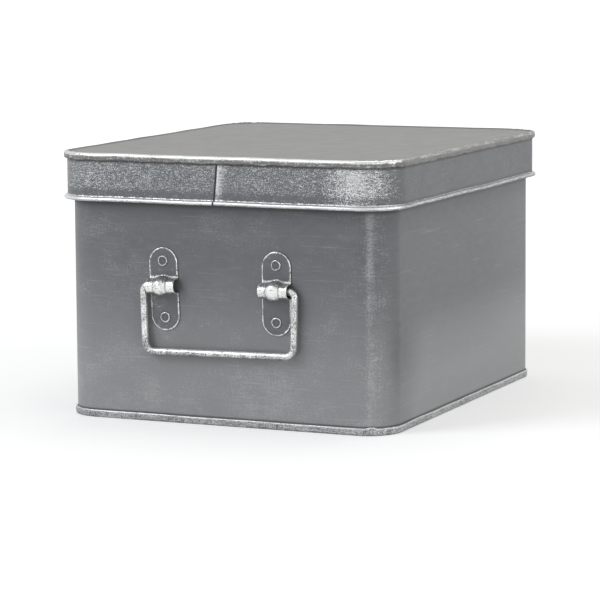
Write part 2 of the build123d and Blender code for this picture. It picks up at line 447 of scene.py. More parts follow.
# painted light: the lid's top has a lighter copy of the paint, for the light from above; it is also warmer
lidTopLitPaint = dryBrushed("lid_top_paint", baseLook | {
    "paintDark": (0.205, 0.202, 0.196, 1),
    "paintLight": (0.285, 0.281, 0.272, 1),
    "mottle": (90, 55, 400),
    "silverStrength": 0.85,
    "shares": {"speckle": 0.5, "level": 0.35, "upright": 0.0, "patches": 0.15},
})
handlePaint = dryBrushed("handle_steel", brightSteel)
bracketPaint = dryBrushed("bracket_steel", brightSteel)
rivetPaint = dryBrushed("rivet_steel", brightSteel)
wireSteel = dryBrushed("rim_wire_steel", baseLook | {"silverColour": (0.5, 0.5, 0.49, 1)})
for wireName in ("body_rim_wire", "lid_rim_wire"):
    frame["nodes"][wireName].data.materials.clear()
    frame["nodes"][wireName].data.materials.append(wireSteel)
print("materials made")


# Tongue of sheet behind an open joint
lap = {
    "width": 12.0,
    "pastJoint": 1.5,
    "rows": 5,
    "paintedShade": (0.3, 0.3, 0.9, 0.9),  # painted shade: plain on its inner face, dark where it is seen through the joint
}


def lapStrip(reach, bottom, top, rear):
    # thin box of sheet: a rectangle in plan, from side to side and from face to face, carried up
    side = -1 if rear else 1
    left, right = np.array([-lap["width"], lap["pastJoint"]]) * side
    inner, outer = (frontFace - np.array([reach, reach + stock["sheet"]])) * side
    plan = np.array([[left, inner], [right, inner], [right, outer], [left, outer]])
    points = np.empty((lap["rows"], len(plan), 3))
    points[..., :2] = plan
    points[..., 2] = np.linspace(bottom, top, lap["rows"])[:, None]
    return {"points": points, "capEnds": True, "paintedShade": np.array(lap["paintedShade"])}


# The body's wall, rolled outwards over its wire at the top. A fade is (amount, where it starts, where it is
# full), a stripe is (amount, centre, half its width), and waves are (amount, wavelength, seed)
wall = {
    "foot": 1.0,  # the part below is hidden in the floor's seam
    "wireDiameter": 3.2,
    "curlAngle": 305.0,
    "dents": ((0.08, 150, 1), (0.08, 90, 2)),  # how the flat sheet wanders in and out
    "dentSlant": 2.2,  # how far the second dents move along for each step up
    "jointGap": 0.7,
    "lapBottom": 6.0,
    "lapTopGap": 3.0,
    "seamRows": (-1, 4, 0.7),  # rows of points close together: from, to and step about the floor's seam
    "lidRows": (-7, 1, 0.8),  # and about the lid's lower edge
    "frontFade": (frontFace + 22, frontFace + 4),
    "cornerFade": (frontFace + 30, frontFace + 8),
    "sideFade": (frontFace + 18, frontFace + 75),
    "silver": 0.26,
    "frontSilver": 0.16,
    # painted highlight: a band of extra silver by the front right corner
    "cornerSilver": (0.06, rightFace - 8, 9),
    "footSilver": (0.09, 60, 20),
    "cornerHighlight": (1, rightFace - 13.9, 5),  # painted highlight down the front right corner
    "highlightSilver": 0.20,
    "highlightUpperSilver": (0.14, 60, 120),
    # painted light: how much paler the wall's paint is on the front, towards the foot and on the sides
    "frontPale": 0.04,
    "frontLowPale": (0.92, 130, 10),
    "frontLeftPale": (0.15, -60, -125),
    "otherLowPale": (0.55, 60, 10),
    "sidePale": 0.05,
    "sideLowPale": (0.60, 88, 50),
    "sideRearPale": (0.24, 20, 150),
    "underLidShade": (0.25, 138, 152),  # painted shade, darkening the strip up to the lid's lower edge
    # painted shadow along the lid's lower edge, and painted shade just above the floor's seam
    "lidLine": (0.7, lidBottom - 0.5, 4.0),
    "seamLine": (0.9, seamTop + 0.4, 1.3),
    "mostShade": 0.95,
}
wall["curlRadius"] = wall["wireDiameter"] / 2 + stock["layerGap"] + stock["sheet"] / 2
wall["curlHeight"] = nodeTop("body_wall") - wall["curlRadius"] - stock["sheet"] / 2


def makeWall():
    # section of a straight rise and a roll, carried round the outline; dents push its flats in and out
    outline, along, corner = outlineOfBox(wall["jointGap"], rear=True)
    closeRows = [*(seamTop + np.arange(*wall["seamRows"])), *(lidBottom + np.arange(*wall["lidRows"]))]
    levels = [wall["foot"], *closeRows, wall["curlHeight"]]
    rises = [(above - below,) for below, above in zip(levels, levels[1:])]
    curl = (wall["curlRadius"], -wall["curlAngle"])
    reach, height = bentSheet((-stock["sheet"] / 2, wall["foot"]), 90, rises + [curl])
    bulge = np.sin(np.pi * np.clip(height / wall["curlHeight"], 0, 1))[None] ** 0.5
    wideDents, narrowDents = wall["dents"]
    dents = waves(*wideDents, along) + waves(*narrowDents, along + wall["dentSlant"] * height[None])
    points = carryRound(outline, reach, height, np.ones_like(reach), dents * (1 - corner) * bulge, 0)
    x, y, z = np.moveaxis(points, -1, 0)
    onFront = ease(*wall["frontFade"], y)
    nearFront = ease(*wall["cornerFade"], y)
    onSide = (1 - onFront) * ease(*wall["sideFade"], y)
    silver = wall["silver"] + wall["frontSilver"] * onFront + fade(*wall["footSilver"], z)
    # painted highlight: extra silver in a band and a narrow line down the front right corner, stronger higher
    # up
    highlight = stripe(*wall["cornerHighlight"], x) * (wall["highlightSilver"] + fade(*wall["highlightUpperSilver"], z))
    silver = silver + nearFront * (stripe(*wall["cornerSilver"], x) + highlight)
    # painted light: paler towards the foot, towards the front's left and, on the long sides, towards the rear
    paintedLight = onFront * (wall["frontPale"] + fade(*wall["frontLowPale"], z) + fade(*wall["frontLeftPale"], x))
    paintedLight = paintedLight + (1 - onFront) * fade(*wall["otherLowPale"], z)
    paintedLight = paintedLight + onSide * (wall["sidePale"] + fade(*wall["sideLowPale"], z) + fade(*wall["sideRearPale"], y))
    # painted shade: darker on the strip below the lid, darkest along the lid's lower edge and the floor's
    # seam
    paintedShade = fade(*wall["underLidShade"], z) + stripe(*wall["lidLine"], z) + stripe(*wall["seamLine"], z)
    paintedShade = np.minimum(paintedShade, wall["mostShade"])
    body = {"points": points, "capEnds": True, "silver": silver, "paintedShade": paintedShade, "paintedLight": paintedLight}
    lapReach = -2 * stock["sheet"] - stock["layerGap"]
    tongue = lapStrip(lapReach, wall["lapBottom"], wall["curlHeight"] - wall["lapTopGap"], True)
    buildPiece("bodyWall", [body, tongue], "body", wallPaint, "body_wall")


makeWall()

# The floor, its edge folded up outside the wall
def wrinkles(values, along, corner):
    # how far a folded edge wanders in and out, and up and down, more finely in the corners
    push = waves(*values["wander"], along) + corner * waves(*values["crimp"], along)
    lift = waves(*values["topWander"], along) + corner * waves(*values["topCrimp"], along)
    return push, lift


plate = {
    "edgeRadius": 1.3,
    "hookEndGap": 0.5,
    "rimWidth": 3.0,  # of the flat that is meshed finely inside the bend
    "rings": 14,
    "band": (0.5, 2.5),  # heights between which the wrinkles set in
    "wander": (0.12, 40, 3),
    "crimp": (0.22, 3.4, 4),  # wrinkles that folding leaves in the corners
    "topWander": (0.15, 70, 5),
    "topCrimp": (0.25, 5, 6),
    "lump": (1.2, 112, 4),  # height, distance round the seam and half width of its worst fold
    "lumpRough": (0.4, 2.4, 7),
    "lumpLift": (seamTop - 3, seamTop - 1),
    "silver": 0.72,
    "topSilver": (0.42, seamTop, 1.3),
    "cornerSilver": (0.10, 6, 8),
    # painted shade at the foot of the seam, where it meets the floor
    "silverReach": (0, 0.6),
    "footShade": (0.5, 0, 1.5),
    "shadeReach": (-2, 0.5),
}


def makeFloorPlate():
    # section of a flat, a bend up and a fold back, carried round the outline and shrunk to the middle
    fold, sheet, edgeRadius = stock["fold"], stock["sheet"], plate["edgeRadius"]
    bendCentre = stock["seamReach"] - edgeRadius
    rise = seamTop - fold - sheet / 2 - edgeRadius
    reach, height = bentSheet((bendCentre - plate["rimWidth"], sheet / 2), 0, [
        (plate["rimWidth"],),
        (edgeRadius - sheet / 2, 90),
        (rise,),
        (fold, 180),
        (rise - plate["hookEndGap"],),
    ], runStep=1.0, bendStep=18)
    reach, height, shrink = cappedSection(reach, height, plate["rings"])
    outline, along, corner = outlineOfBox()
    band = ease(*plate["band"], height)[None]
    lump = stripe(*plate["lump"], along) * (1 + waves(*plate["lumpRough"], along))
    push, lift = wrinkles(plate, along, corner)
    lift = band * lift + lump * ease(*plate["lumpLift"], height)[None]
    points = carryRound(outline, reach, height, shrink, band * (push + lump), lift)
    silver = plate["silver"] + stripe(*plate["topSilver"], height)[None]
    silver = silver + corner * waves(*plate["cornerSilver"], along)
    silver = silver * ease(*plate["silverReach"], reach)[None]
    # painted shade along the seam's foot
    paintedShade = stripe(*plate["footShade"], height) * ease(*plate["shadeReach"], reach)
    grid = {"points": points, "capped": True, "silver": silver, "paintedShade": paintedShade[None]}
    buildPiece("floorPlate", [grid], "body", basePaint, "base_plate")


makeFloorPlate()

# The lid: a panel folded down over a skirt that ends in a flared roll
rimHeight = 5.4
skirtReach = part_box("lid_panel")[1][0] / toMetres - bodyWidth / 2 - stock["seamReach"]
panel = {
    "edgeRadius": 2.0,
    "rise": 0.7,  # of the rim above the flat
    "stepRadius": 1.0,
    "hookEndGap": 0.5,
    "rimWidth": 3.0,
    "rings": 20,
    "bow": 0.5,  # how far the flat sinks in the middle
    "band": (-2.5, 0.5),  # from the bend's start, where the wrinkles set in
    "lowBand": (lidTop - 2, lidTop - 5),
    "wander": (0.10, 26, 11),
    "crimp": (0.4, 3.1, 12),  # wrinkles that folding leaves in the rim's corners
    "topWander": (0.12, 60, 13),
    "topCrimp": (0.3, 4.3, 14),
    "lowWander": (0.35, 17, 15),
    "lumps": ((0.35, 932, 5), (0.4, 401, 5), (0.5, 650, 5)),  # as on the floor's seam
    "lumpRough": (0.5, 2.2, 17),
    "lumpLift": 0.6,  # how much of a lump is upwards
    "frontFade": (frontFace + 22, frontFace + 2),
    "crestReach": (0, 0.8),
    "crestHeight": (lidTop - 2.5, lidTop - 1.3),
    "crestSilver": 0.2,
    "crestFrontSilver": 0.65,
    "silver": 0.36,
    "frontSilver": 0.12,
    "cornerSilver": (0.25, 7, 16),
    "stepLine": (0.8, -1.2, 3.5),  # painted shade: dark line inside the rim, from where the step ends
    "stepHeight": (lidTop - 2, lidTop - 1),
    # painted shade on the rim's outer face below its crest
    "outerReach": (1.2, 1.8),
    "outerHeight": (lidTop - 1.8, lidTop - 2.6),
    "outerShade": 0.3,
    # painted shadow along the rim's lower edge
    "underLine": (0.7, lidTop - rimHeight, 1.3),
}


def makeLidPanel():
    # section of a flat, a small step up, a bend down and a fold back, carried round and shrunk to the middle
    fold, sheet, edgeRadius = stock["fold"], stock["sheet"], panel["edgeRadius"]
    stepMiddle = panel["stepRadius"] - sheet / 2
    stepAngle = math.degrees(math.acos(1 - panel["rise"] / (2 * stepMiddle)))
    stepWidth = 2 * stepMiddle * math.sin(math.radians(stepAngle))
    bendCentre = skirtReach + stock["seamReach"] - edgeRadius
    drop = rimHeight - edgeRadius - fold - sheet / 2
    start = (bendCentre - stepWidth - panel["rimWidth"], lidTop - panel["rise"] - sheet / 2)
    reach, height = bentSheet(start, 0, [
        (panel["rimWidth"],),
        (stepMiddle, stepAngle),
        (stepMiddle, -stepAngle),
        (edgeRadius - sheet / 2, -90),
        (drop,),
        (fold, -180),
        (drop - panel["hookEndGap"],),
    ], runStep=0.8, bendStep=15)
    reach, height, shrink = cappedSection(reach, height, panel["rings"])
    outline, along, corner = outlineOfBox()
    pastBend = reach - bendCentre
    band = ease(*panel["band"], pastBend)[None]
    low = ease(*panel["lowBand"], height)[None]
    lumps = sum(stripe(*lump, along) for lump in panel["lumps"])
    lumps = lumps * (1 + waves(*panel["lumpRough"], along))
    push, lift = wrinkles(panel, along, corner)
    lift = lift + low * waves(*panel["lowWander"], along) + panel["lumpLift"] * lumps
    bow = panel["bow"] * (1 - shrink[None] ** 2)
    points = carryRound(outline, reach, height, shrink, band * (push + lumps), band * lift - bow)
    onFront = ease(*panel["frontFade"], points[..., 1])
    crest = ease(*panel["crestReach"], pastBend) * ease(*panel["crestHeight"], height)
    silver = panel["silver"] + panel["frontSilver"] * onFront
    silver = band * (silver + corner * waves(*panel["cornerSilver"], along))
    silver = silver + crest[None] * (panel["crestSilver"] + panel["crestFrontSilver"] * onFront)
    # painted shade: a line inside the rim's step, the rim's face below its crest and a line at its lower edge
    outerFace = ease(*panel["outerReach"], pastBend) * ease(*panel["outerHeight"], height)
    paintedShade = stripe(*panel["stepLine"], pastBend + stepWidth) * ease(*panel["stepHeight"], height)
    paintedShade = paintedShade + panel["outerShade"] * outerFace
    paintedShade = paintedShade[None] + band * stripe(*panel["underLine"], height)[None]
    grid = {"points": points, "capped": True, "silver": silver, "paintedShade": paintedShade}
    buildPiece("lidPanel", [grid], "lid", lidTopLitPaint, "lid_panel")


skirt = {
    "topGap": 2.6,  # from the lid's top to the skirt's, inside the rim's fold
    "wireDiameter": 2.0,
    "curlAngle": 268.0,
    "coveRadius": 1.1,
    "jointGap": 0.6,
    "jointTop": -0.3,  # where the joint stands, left or right of the middle
    "jointBottom": -2.8,
    "jointBlend": 60.0,  # how far along the skirt the joint's slant reaches
    "lapReachGap": 0.05,
    "lapEndGap": 1.0,
    "dents": (0.14, 75, 21),
    "dentSlant": 0.6,
    "edgeWander": (0.22, 120, 22),
    "edgeBand": (3, -1),  # from the top of the cove, where it sets in
    "frontFade": (frontFace + 24, frontFace - 2),
    "frontSilver": 0.49,
    "otherSilver": 0.27,
    # painted highlight towards the front's right corner
    "rightHighlight": (0.27, rightFace - 22, 30),
    "leftSilver": (0.05, 28 - rightFace, 50),
    "jointSilver": (0.4, 1.6, 4.4),  # bright edge to the right of the joint
    "lowSilver": (0.20, 2.5, 4.5),  # darker strip, from the top of the cove
    "beadBand": (0.2, -1.0),  # from the top of the cove
    "beadSilver": 0.74,
    "beadFrontSilver": 0.26,
    "underBeadShade": (0.30, 0.3, -0.9),  # painted shade under the roll, from the roll's middle
    # painted shadow just under the lid's rim
    "rimLine": (0.9, lidTop - rimHeight - 0.4, 1.3),
    "beadLine": (0.5, 0.2, 1.3),  # painted shade in the crease, from the top of the cove
    "frontBeadLine": 0.4,  # how much of it is left on the front
}


def makeLidSkirt():
    # section of a straight drop, a cove outwards and a roll, carried round the outline from joint to joint
    sheet = stock["sheet"]
    curlRadius = skirt["wireDiameter"] / 2 + stock["layerGap"] + sheet / 2
    curlHeight = lidBottom + curlRadius + sheet / 2
    coveMiddle = skirt["coveRadius"] + sheet / 2
    coveTop = curlHeight + curlRadius + coveMiddle
    topEnd = lidTop - skirt["topGap"]
    reach, height = bentSheet((skirtReach - sheet / 2, topEnd), -90, [
        (topEnd - coveTop,),
        (coveMiddle, 90),
        (curlRadius, -skirt["curlAngle"]),
    ], runStep=0.8, bendStep=12)
    outline, along, corner = outlineOfBox(skirt["jointGap"])
    total = along[-1, 0]
    aboveCove = (height - coveTop)[None]
    push = waves(*skirt["dents"], along + skirt["dentSlant"] * height[None])
    lift = ease(*skirt["edgeBand"], aboveCove) * waves(*skirt["edgeWander"], along)
    points = carryRound(outline, reach, height, np.ones_like(reach), (1 - corner) * push, lift)
    # the joint leans: both of its edges are shifted sideways, more so at the bottom
    lean = np.clip(aboveCove / (topEnd - coveTop), 0, 1)
    shift = skirt["jointBottom"] + (skirt["jointTop"] - skirt["jointBottom"]) * lean
    nearJoint = stripe(1, 0, skirt["jointBlend"], along) + stripe(1, total, skirt["jointBlend"], along)
    points[..., 0] += nearJoint * shift
    x, y, z = np.moveaxis(points, -1, 0)
    onFront = ease(*skirt["frontFade"], y)
    bead = ease(*skirt["beadBand"], aboveCove)
    # painted highlight: more silver towards the front's right corner
    frontSilver = skirt["frontSilver"] + stripe(*skirt["rightHighlight"], x)
    frontSilver = frontSilver + stripe(*skirt["leftSilver"], x) - stripe(*skirt["lowSilver"], aboveCove)
    frontSilver = frontSilver + stripe(*skirt["jointSilver"], along) * (along > 0)
    silver = onFront * frontSilver + skirt["otherSilver"] * (1 - onFront)
    beadSilver = skirt["beadSilver"] + skirt["beadFrontSilver"] * onFront
    # painted shade: less silver under the roll
    beadSilver = beadSilver - fade(*skirt["underBeadShade"], height - curlHeight)[None]
    silver = silver * (1 - bead) + bead * beadSilver
    # painted shade: a line in the crease above the cove, the joint's edges and a line under the rim
    beadLine = stripe(*skirt["beadLine"], aboveCove) * (1 - (1 - skirt["frontBeadLine"]) * onFront)
    jointEdge = stripe(1, 0, stock["lipStep"], along) + stripe(1, total, stock["lipStep"], along)
    paintedShade = np.minimum(stripe(*skirt["rimLine"], z) + beadLine + jointEdge, 1)
    grid = {"points": points, "capEnds": True, "silver": silver, "paintedShade": paintedShade}
    lapReach = skirtReach - 2 * sheet - stock["layerGap"] - skirt["lapReachGap"]
    tongue = lapStrip(lapReach, coveTop + skirt["lapEndGap"], topEnd - skirt["lapEndGap"], False)
    buildPiece("lidSkirt", [grid, tongue], "lid", lidSidePaint, "lid_skirt")


makeLidPanel()
makeLidSkirt()

# The handles, each a wire bent to a bail with its ends upset to round heads
handle = {
    "wire": 5.0,
    "drop": 46.3,
    "taper": 1.3,  # how far the legs draw in on their way down
    "tilt": 0.016,  # how far the bail hangs out of square
    "topBend": 4.6,
    "bottomBend": 6.5,
    "headDiameter": 7.8,
    "headSteps": 9,
    "neckSteps": 6,
    "neckGap": 0.3,
    "standoff": 4.3,
    "legClearance": 1.5,
    "shift": -0.6,  # how far the bail has slid along its bearings
    "sides": 28,
    "rough": ((0.045, 9, 31), (0.045, 5, 32)),
    "roughSlants": (6, -5),  # how far round the wire each of them slants
    "silver": 0.80,
    "silverWaves": (0.08, 14, 33),
    "silverSlant": 3,
    # painted light and shade: more silver on the wire's upper side, less on its lower side
    "upwardLightSilver": 0.2,
    # painted shade: less silver on the side facing the wall
    "wallSideShadeSilver": (-0.15, 0.1, -0.9),
}
strap = {
    "spacing": 87.0,  # between the middles of a pair's straps
    "height": 59.0,
    "width": 22.0,
    "drop": 2.3,  # of the strap's middle below the loop's
    "sheet": 1.2,
    "bend": 0.8,
    "loopMoves": (1.3, 5.7),  # of the moves in its line, those with the look of the loop
    "standMoves": (2, 5),  # and those that stand off the plate
    "clearance": 1.6,
    "bulgeRadius": 7.3,
    "bulgeBlend": 0.12,  # how softly the bulge rises from the loop
    "bulgeSink": 0.01,
    "archFade": 5.0,  # how far the bulge's root climbs the plate
    "edgeRound": 0.5,
    "backInset": 0.04,
    "crossPoints": 44,
    "tipStep": 7.5,  # degrees
    "silver": 0.30,
    "backSilver": 0.1,
    # painted shade on the back, against the wall
    "backShade": 0.9,
    "edgeLine": (1, 0.35, 1.4),  # in from the edge
    "edgeSilver": 0.9,
    "edgeWaves": (0.2, 13, 41),
    "edgeSlant": 2,
    "crownSilver": 0.93,
    "crownWaves": (0.07, 8, 51),
    "crownStretch": (2, 1.4),
    "topShade": (-0.45, 0.4, 0.8),  # by how far the surface faces up
    "underShade": (-0.5, -0.55, -0.9),
    "grooveShade": (0.55, 0, 0.35),  # painted shade in the groove round the ball, by the bulge's rise from the loop
    "rootSilver": (1, 0.1, 1.7),  # above the upper bend
}
loopMiddle = handle["wire"] / 2 + strap["clearance"] + strap["sheet"] / 2


def bentWire(corners, radii, runStep=2.0, bendStep=6.0):
    # centre line of a bent wire in its own plane: straight runs joined by tangent arcs
    corners = [complex(*corner) for corner in corners]
    line = [np.array([corners[0]])]
    for before, corner, after, radius in zip(corners, corners[1:], corners[2:], radii):
        into = (corner - before) / abs(corner - before)
        away = (after - corner) / abs(after - corner)
        turn = np.angle(away / into)
        begin = corner - into * radius * math.tan(abs(turn) / 2)
        count = max(1, round(abs(begin - line[-1][-1]) / runStep))
        line.append(line[-1][-1] + (begin - line[-1][-1]) * np.arange(1, count + 1) / count)
        pivot = begin + 1j * into * math.copysign(radius, turn)
        count = max(3, round(math.degrees(abs(turn)) / bendStep))
        line.append(pivot + (begin - pivot) * np.exp(1j * turn * np.arange(1, count + 1) / count))
    count = max(1, round(abs(corners[-1] - line[-1][-1]) / runStep))
    line.append(line[-1][-1] + (corners[-1] - line[-1][-1]) * np.arange(1, count + 1) / count)
    return np.concatenate(line)


def ontoEnd(across, up, out, side):
    # a point on a short end: across runs left to right seen from outside, up is height, out is off the wall
    return np.stack([-side * across, side * (bodyDepth / 2 + out), up], axis=-1)


def makeHandle(name, side, body, node):
    # tube: centre(s) + radius(s, a) * (cos a * sideways(s) + sin a * outwards), with a round head at each end
    pivotEnd = strap["spacing"] / 2
    leg = pivotEnd + strap["width"] / 2 + handle["legClearance"] + handle["wire"] / 2
    half = [(pivotEnd, 0.0), (leg, 0.0), (leg - handle["taper"], -handle["drop"])]
    corners = half + [(-across, up) for across, up in reversed(half)]
    bends = (handle["topBend"], handle["bottomBend"], handle["bottomBend"], handle["topBend"])
    line = bentWire(corners, bends)
    head, wire = handle["headDiameter"] / 2, handle["wire"] / 2
    neck = math.sqrt(head ** 2 - wire ** 2)
    headArc = -head * np.cos(np.linspace(0, np.pi / 2, handle["headSteps"]))[:-1]
    offsets = np.concatenate([headArc, neck * np.linspace(0, 1, handle["neckSteps"])])
    headSize = np.sqrt(np.maximum(head ** 2 - offsets ** 2, 0))
    fromEnds = np.minimum(np.abs(line - line[0]), np.abs(line - line[-1]))
    shank = line[fromEnds > neck + handle["neckGap"]]
    centre = np.concatenate([line[0] + offsets, shank, (line[-1] - offsets)[::-1]])
    radius = np.concatenate([headSize, np.full(len(shank), wire), headSize[::-1]])[:, None]
    ahead = np.gradient(centre)
    sideways = (1j * ahead / np.abs(ahead))[:, None]
    around = np.linspace(0, 2 * np.pi, handle["sides"], endpoint=False)[None]
    walked = np.append(0, np.cumsum(np.abs(np.diff(centre))))[:, None]
    coarse, fine = handle["rough"]
    coarseSlant, fineSlant = handle["roughSlants"]
    rough = waves(*coarse, walked + coarseSlant * np.sin(around))
    rough = rough + waves(*fine, walked + fineSlant * np.cos(around))
    size = radius + rough * (radius >= wire)
    plan = centre[:, None] + size * np.cos(around) * sideways
    out = handle["standoff"] + size * np.sin(around)
    up = plan.imag - handle["tilt"] * plan.real * plan.imag / handle["drop"]
    points = ontoEnd(plan.real + handle["shift"], up + pivotHeight, out, side)
    facingUp = (sideways.imag * np.cos(around)).clip(-1, 1)
    # painted light: more silver where the wire faces up, less where it faces down
    silver = handle["silver"] + handle["upwardLightSilver"] * facingUp
    silver = silver + waves(*handle["silverWaves"], walked + handle["silverSlant"] * np.sin(around))
    # painted shade: less silver on the side facing the wall
    silver = silver + fade(*handle["wallSideShadeSilver"], np.sin(around))
    tube = {"points": points, "silver": silver}
    buildPiece(name, [tube], body, handlePaint, node)


def placeOnBracket(place, across, up, out):
    # turns a bracket's own across and up by its lean and carries them to its place on the short end
    lean = math.radians(place["lean"])
    x = place["across"] + across * math.cos(lean) - up * math.sin(lean)
    z = pivotHeight - place["sunk"] + across * math.sin(lean) + up * math.cos(lean)
    return ontoEnd(x, z, out, place["side"])


def strapLine():
    # middle line of a strap from its lower to its upper tip: real is up, imaginary is off the wall; with it
    # the direction off the strap, half its width, and how many of its seven moves lie behind each point
    sheet, tip = strap["sheet"], strap["width"] / 2
    bendMiddle = strap["bend"] + sheet / 2
    foot = loopMiddle + bendMiddle
    low = -strap["height"] / 2 - strap["drop"]
    high = strap["height"] / 2 - strap["drop"]
    rise = handle["standoff"] - sheet / 2 - bendMiddle
    middle, normal, progress = bentLine((low + tip, sheet / 2), 0, [
        (-low - tip - foot,),
        (bendMiddle, 90),
        (rise,),
        (loopMiddle, -180),
        (rise,),
        (bendMiddle, 90),
        (high - tip - foot,),
    ], runStep=0.9, bendStep=9)
    turn = np.radians(np.arange(0, 90, strap["tipStep"]))
    inwards = tip * (1 - np.cos(turn))
    lowTip = low + inwards + 1j * sheet / 2
    highTip = (high - inwards + 1j * sheet / 2)[::-1]
    upright = np.full(len(turn), 1j)
    tipWidth = tip * np.sin(turn)
    return (
        np.concatenate([lowTip, middle, highTip]),
        np.concatenate([upright, normal, upright]),
        np.concatenate([tipWidth, np.full(len(middle), tip), tipWidth[::-1]]),
        np.concatenate([0 * turn, progress, 7 + 0 * turn]),
    )


def makeBracket(name, place, node):
    # strap: middle(s) + across * halfWidth(s) * t + normal(s) * thickness, rounded at its edges and swollen
    # over the loop to a ball: push(s, t) = sqrt(ball^2 - across^2 - below^2) - loop
    sheet, tip, rounding = strap["sheet"], strap["width"] / 2, strap["edgeRound"]
    middle, normal, halfWidth, progress = (values[:, None] for values in strapLine())
    bendMiddle = strap["bend"] + sheet / 2
    foot = loopMiddle + bendMiddle
    up = middle.real
    x = halfWidth * np.sin(np.pi / 2 * np.linspace(-1, 1, strap["crossPoints"]))
    loopStart, loopEnd = strap["loopMoves"]
    loop = (progress > loopStart) & (progress < loopEnd)
    # rounded edges, by how far a point is in from the strap's edge or round tip
    past = np.maximum(np.abs(up + strap["drop"]) - strap["height"] / 2 + tip, 0) * (1 - loop)
    inset = tip - np.hypot(x, past)
    fall = rounding - np.sqrt(np.maximum(rounding ** 2 - np.maximum(rounding - inset, 0) ** 2, 0))
    # the ball round the wire's head; its root climbs the plate and fades out a few millimetres past the bend
    deepest = handle["standoff"] - sheet / 2 - bendMiddle
    below = np.clip(handle["standoff"] - middle.imag, 0, deepest)
    ball = np.sqrt(np.maximum(strap["bulgeRadius"] ** 2 - x ** 2 - below ** 2, 0)) - loopMiddle - sheet / 2
    swell = np.maximum(0.5 * (ball + np.sqrt(ball ** 2 + strap["bulgeBlend"])) - strap["bulgeSink"], 0)
    climb = 1 - ease(0, strap["archFade"], np.abs(up) - foot + bendMiddle)
    standStart, standEnd = strap["standMoves"]
    onPlate = (progress < standStart) | (progress > standEnd)
    swell = swell * np.where(onPlate, climb * np.sign(up), normal)
    front = middle + normal * (sheet / 2 - fall) + swell
    back = middle + normal * (strap["backInset"] - sheet / 2) + swell
    shape = np.concatenate([front, back[:, ::-1]], axis=1)
    points = placeOnBracket(place, np.concatenate([x, x[:, ::-1]], axis=1), shape.real, shape.imag)
    # worn bright along the edges, on the loop's crown and in the upper bend; painted shade on the loop's
    # upper and lower sides, in the groove round the ball and on the back
    edgeWaves = waves(*strap["edgeWaves"], up + strap["edgeSlant"] * x, place["copy"])
    edge = stripe(*strap["edgeLine"], inset) * (strap["edgeSilver"] + edgeWaves)
    stretchUp, stretchAcross = strap["crownStretch"]
    crownWaves = waves(*strap["crownWaves"], stretchUp * up + stretchAcross * x, place["copy"])
    shade = fade(*strap["topShade"], normal.real) + fade(*strap["underShade"], normal.real)
    crown = loop * (strap["crownSilver"] + crownWaves + shade)
    root = stripe(*strap["rootSilver"], up - foot) * (1 - loop) * (up > 0)
    silver = np.maximum.reduce([strap["silver"] + 0 * x, edge, crown, root + 0 * x])
    paintedShade = loop * stripe(*strap["grooveShade"], ball)
    grid = {
        "points": points,
        "silver": np.concatenate([silver, strap["backSilver"] + 0 * x], axis=1),
        "paintedShade": np.concatenate([paintedShade, strap["backShade"] + 0 * x], axis=1),
    }
    buildPiece(name, [grid], "body", bracketPaint, node)


# The rivets: a flat head with a worn bevel and a slight dish, a shank and a tail inside
rivet = {
    "spacing": 40.0,
    "headDiameter": 7.6,
    "headHeight": 0.9,
    "headEdge": 0.2,  # height of the head's upright edge
    "bevel": 0.8,
    "bevelSteps": 6,
    "dish": 0.25,
    "dishRing": (0.35, 0.9),  # from the bevel inwards, in the dish's slope and at its foot
    "dishSlope": 0.7,  # share of the dish's depth at the first of them
    "shankRadius": 1.7,
    "tailDiameter": 5.0,
    "tailHeight": 0.9,
    "tailBevel": 0.5,
    "fitGaps": (0.02, 0.03),  # air under the tail and under the head
    "sides": 40,
    "wobble": 0.025,  # how far the head is from round
    "silver": 0.12,
    "ringSilver": (0.85, 0.6, 0.75),  # middle as a share of the bevel, and half width
    # painted shade round the foot of the dish
    "dishShade": 0.5,
    "dishShadeWidth": 0.5,
}


